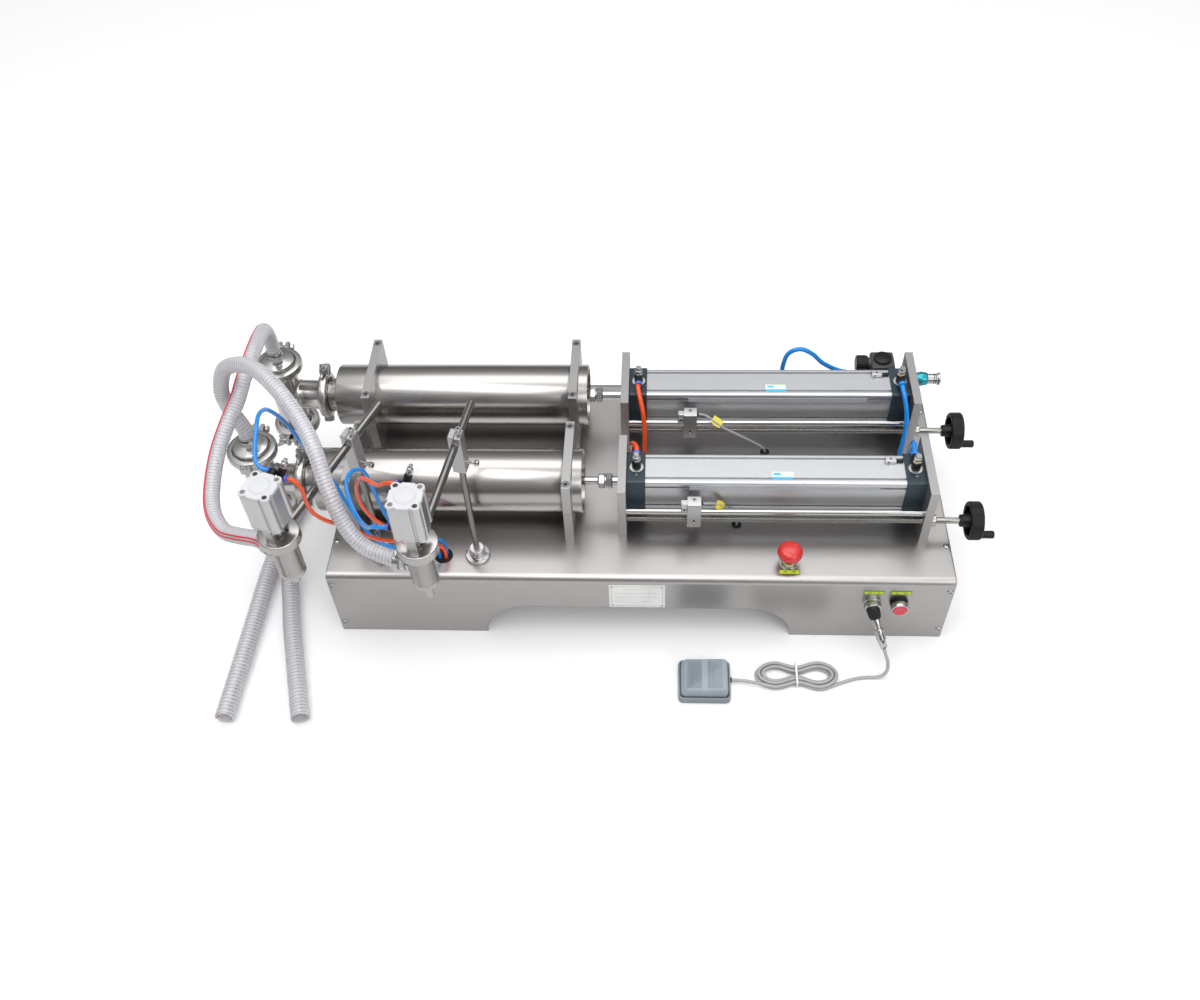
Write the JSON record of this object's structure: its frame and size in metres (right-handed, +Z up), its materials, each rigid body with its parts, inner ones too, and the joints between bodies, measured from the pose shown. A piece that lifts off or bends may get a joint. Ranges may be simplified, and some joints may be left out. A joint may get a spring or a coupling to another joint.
{
  "type": "bench liquid filling machine",
  "caption": "Bench-top pneumatic piston filler: two product cylinders with air cylinders behind them, handwheel stroke stops, hose-fed nozzles on swing arms and a foot switch.",
  "frame": {"origin": "under the middle of the machine's own box, on the table, without the suction hoses and the foot switch set", "axes": "+X along the case from the tees to the handwheels, +Y away from the operator, +Z up"},
  "size_m": [1.2376, 0.6324, 0.5382],
  "materials": {
    "base_cover": "brushed stainless sheet",
    "end_panels": "brushed stainless sheet",
    "screws": "dome and socket heads",
    "label_plates": "bare printed plates",
    "estop_housing": "moulded, black",
    "estop_head": "red mushroom head",
    "button_housing": "moulded, black",
    "button_cap": "red cap",
    "foot_socket": "black rubber and threaded ring",
    "cable_grommets": "black rubber and threaded ring",
    "solenoid_valves": "valve bank",
    "barrel_clamps": "milled",
    "product_barrels": "polished stainless",
    "cylinder_plates": "milled",
    "air_tubes": "anodised profile",
    "end_caps": "dark teal caps",
    "guide_rods": "polished stainless",
    "product_tees": "polished stainless",
    "tri_clamps": "polished stainless",
    "hose_barbs": "polished stainless",
    "nozzle_stands": "polished stainless",
    "air_fittings": "push-in fittings",
    "cylinder_tubes": "orange and blue tubes",
    "air_supply": "filter regulator and slide valve",
    "regulator_knob": "black knob",
    "slide_sleeve": "knurled sleeve",
    "left_delivery_hose": "milky ribbed hose",
    "right_delivery_hose": "milky ribbed hose",
    "front_suction_hose": "milky ribbed hose",
    "rear_suction_hose": "milky ribbed hose",
    "inlet_balls": "white ball",
    "outlet_balls": "white ball",
    "rear_product_piston": "white piston with seals",
    "front_product_piston": "white piston with seals",
    "rear_air_piston": "ground rod",
    "front_air_piston": "ground rod",
    "rear_lead_screw": "polished stainless",
    "front_lead_screw": "polished stainless",
    "rear_handwheel": "dark wheel",
    "front_handwheel": "dark wheel",
    "rear_crank_handle": "black knob",
    "front_crank_handle": "black knob",
    "rear_stop_carriage": "anodised profile",
    "front_stop_carriage": "anodised profile",
    "sensor_cables": "grey cable",
    "left_clamp_block": "anodised profile",
    "right_clamp_block": "anodised profile",
    "left_nozzle_cylinder": "anodised profile",
    "right_nozzle_cylinder": "anodised profile",
    "left_nozzle_body": "turned stainless",
    "right_nozzle_body": "turned stainless",
    "left_nozzle_stem": "ground rod",
    "right_nozzle_stem": "ground rod",
    "nozzle_tubes": "blue and orange tubes",
    "switch_base": "slate grey shell",
    "switch_pedal": "slate grey shell",
    "cord_plug": "plated plug",
    "foot_cord": "grey cable",
    "cord_hank": "grey cable",
    "cord_tie": "white tie"
  },
  "bodies": {
    "machine": {"base_cover": "base_cover", "end_panels": "end_panels", "screws": "screws", "label_plates": "label_plates", "estop_housing": "estop_housing", "button_housing": "button_housing", "foot_socket": "foot_socket", "cable_grommets": "cable_grommets", "solenoid_valves": "solenoid_valves", "barrel_clamps": "barrel_clamps", "product_barrels": "product_barrels", "cylinder_plates": "cylinder_plates", "air_tubes": "air_tubes", "end_caps": "end_caps", "guide_rods": "guide_rods", "product_tees": "product_tees", "tri_clamps": "tri_clamps", "hose_barbs": "hose_barbs", "nozzle_stands": "nozzle_stands", "air_fittings": "air_fittings", "cylinder_tubes": "cylinder_tubes", "air_supply": "air_supply", "left_delivery_hose": "left_delivery_hose", "right_delivery_hose": "right_delivery_hose", "front_suction_hose": "front_suction_hose", "rear_suction_hose": "rear_suction_hose", "sensor_cables": "sensor_cables", "nozzle_tubes": "nozzle_tubes", "switch_base": "switch_base", "cord_plug": "cord_plug", "foot_cord": "foot_cord", "cord_hank": "cord_hank", "cord_tie": "cord_tie"},
    "rear_piston": {"rear_product_piston": "rear_product_piston", "rear_air_piston": "rear_air_piston"},
    "front_piston": {"front_product_piston": "front_product_piston", "front_air_piston": "front_air_piston"},
    "rear_screw": {"rear_lead_screw": "rear_lead_screw", "rear_handwheel": "rear_handwheel"},
    "front_screw": {"front_lead_screw": "front_lead_screw", "front_handwheel": "front_handwheel"},
    "rear_crank": {"rear_crank_handle": "rear_crank_handle"},
    "front_crank": {"front_crank_handle": "front_crank_handle"},
    "rear_stop": {"rear_stop_carriage": "rear_stop_carriage"},
    "front_stop": {"front_stop_carriage": "front_stop_carriage"},
    "left_arm": {"left_clamp_block": "left_clamp_block", "left_nozzle_cylinder": "left_nozzle_cylinder", "left_nozzle_body": "left_nozzle_body"},
    "right_arm": {"right_clamp_block": "right_clamp_block", "right_nozzle_cylinder": "right_nozzle_cylinder", "right_nozzle_body": "right_nozzle_body"},
    "left_stem": {"left_nozzle_stem": "left_nozzle_stem"},
    "right_stem": {"right_nozzle_stem": "right_nozzle_stem"},
    "estop": {"estop_head": "estop_head"},
    "button": {"button_cap": "button_cap"},
    "pedal": {"switch_pedal": "switch_pedal"},
    "knob": {"regulator_knob": "regulator_knob"},
    "sleeve": {"slide_sleeve": "slide_sleeve"},
    "inlet_valves": {"inlet_balls": "inlet_balls"},
    "outlet_valves": {"outlet_balls": "outlet_balls"}
  },
  "joints": [
    {"name": "rear_stroke", "type": "slide", "parent": "machine", "child": "rear_piston", "axis": [1, 0, 0], "range_m": [-0.3, 0]},
    {"name": "rear_screw_turn", "type": "hinge", "parent": "machine", "child": "rear_screw", "pos_m": [0.5849, 0.15527, 0.186], "axis": [1, 0, 0], "range_deg": [-6000, 30000]},
    {"name": "rear_crank_spin", "type": "hinge", "parent": "rear_screw", "child": "rear_crank", "pos_m": [0.5999, 0.13971, 0.17044], "axis": [1, 0, 0], "continuous": true},
    {"name": "rear_stop_travel", "type": "slide", "parent": "machine", "child": "rear_stop", "axis": [1, 0, 0], "range_m": [-0.0501, 0.2501], "deforming": ["sensor_cables"]},
    {"name": "front_stroke", "type": "slide", "parent": "machine", "child": "front_piston", "axis": [1, 0, 0], "range_m": [-0.3, 0]},
    {"name": "front_screw_turn", "type": "hinge", "parent": "machine", "child": "front_screw", "pos_m": [0.5849, -0.04073, 0.186], "axis": [1, 0, 0], "range_deg": [-6000, 30000]},
    {"name": "front_crank_spin", "type": "hinge", "parent": "front_screw", "child": "front_crank", "pos_m": [0.5999, -0.05629, 0.17044], "axis": [1, 0, 0], "continuous": true},
    {"name": "front_stop_travel", "type": "slide", "parent": "machine", "child": "front_stop", "axis": [1, 0, 0], "range_m": [-0.0501, 0.2501], "deforming": ["sensor_cables"]},
    {"name": "left_arm_swing", "type": "hinge", "parent": "machine", "child": "left_arm", "pos_m": [-0.3661, -0.09173, 0.4], "axis": [0, 0, 1], "range_deg": [-10, 10], "deforming": ["left_delivery_hose", "nozzle_tubes"]},
    {"name": "left_stem_lift", "type": "slide", "parent": "left_arm", "child": "left_stem", "axis": [0, 0, 1], "range_m": [0, 0.01]},
    {"name": "right_arm_swing", "type": "hinge", "parent": "machine", "child": "right_arm", "pos_m": [-0.2121, -0.09173, 0.4], "axis": [0, 0, 1], "range_deg": [-10, 10], "deforming": ["right_delivery_hose", "nozzle_tubes"]},
    {"name": "right_stem_lift", "type": "slide", "parent": "right_arm", "child": "right_stem", "axis": [0, 0, 1], "range_m": [0, 0.01]},
    {"name": "estop_press", "type": "slide", "parent": "machine", "child": "estop", "axis": [0, 0, 1], "range_m": [-0.0045, 0], "stiffness_N_per_m": 800, "springref_m": 0.003},
    {"name": "button_press", "type": "slide", "parent": "machine", "child": "button", "axis": [0, 1, 0], "range_m": [0, 0.003], "stiffness_N_per_m": 800, "springref_m": -0.002},
    {"name": "pedal_press", "type": "hinge", "parent": "machine", "child": "pedal", "pos_m": [0.1849, -0.23473, 0.008], "axis": [0, 1, 0], "range_deg": [-6, 0], "stiffness_Nm_per_rad": 1, "springref_deg": 6.88},
    {"name": "knob_turn", "type": "hinge", "parent": "machine", "child": "knob", "pos_m": [0.4299, 0.27927, 0.225], "axis": [1, 0, 0], "range_deg": [-1080, 1080]},
    {"name": "sleeve_slide", "type": "slide", "parent": "machine", "child": "sleeve", "axis": [1, 0, 0], "range_m": [0, 0.009]},
    {"name": "inlet_balls_lift", "type": "slide", "parent": "machine", "child": "inlet_valves", "axis": [0, 0, 1], "range_m": [0, 0.008]},
    {"name": "outlet_balls_lift", "type": "slide", "parent": "machine", "child": "outlet_valves", "axis": [0, 0, 1], "range_m": [0, 0.008]}
  ],
  "couplings": [
    {"joint": "rear_stop_travel", "follows": "rear_screw_turn", "m_per_rad": 0.00047746},
    {"joint": "front_stop_travel", "follows": "front_screw_turn", "m_per_rad": 0.00047746}
  ]
}
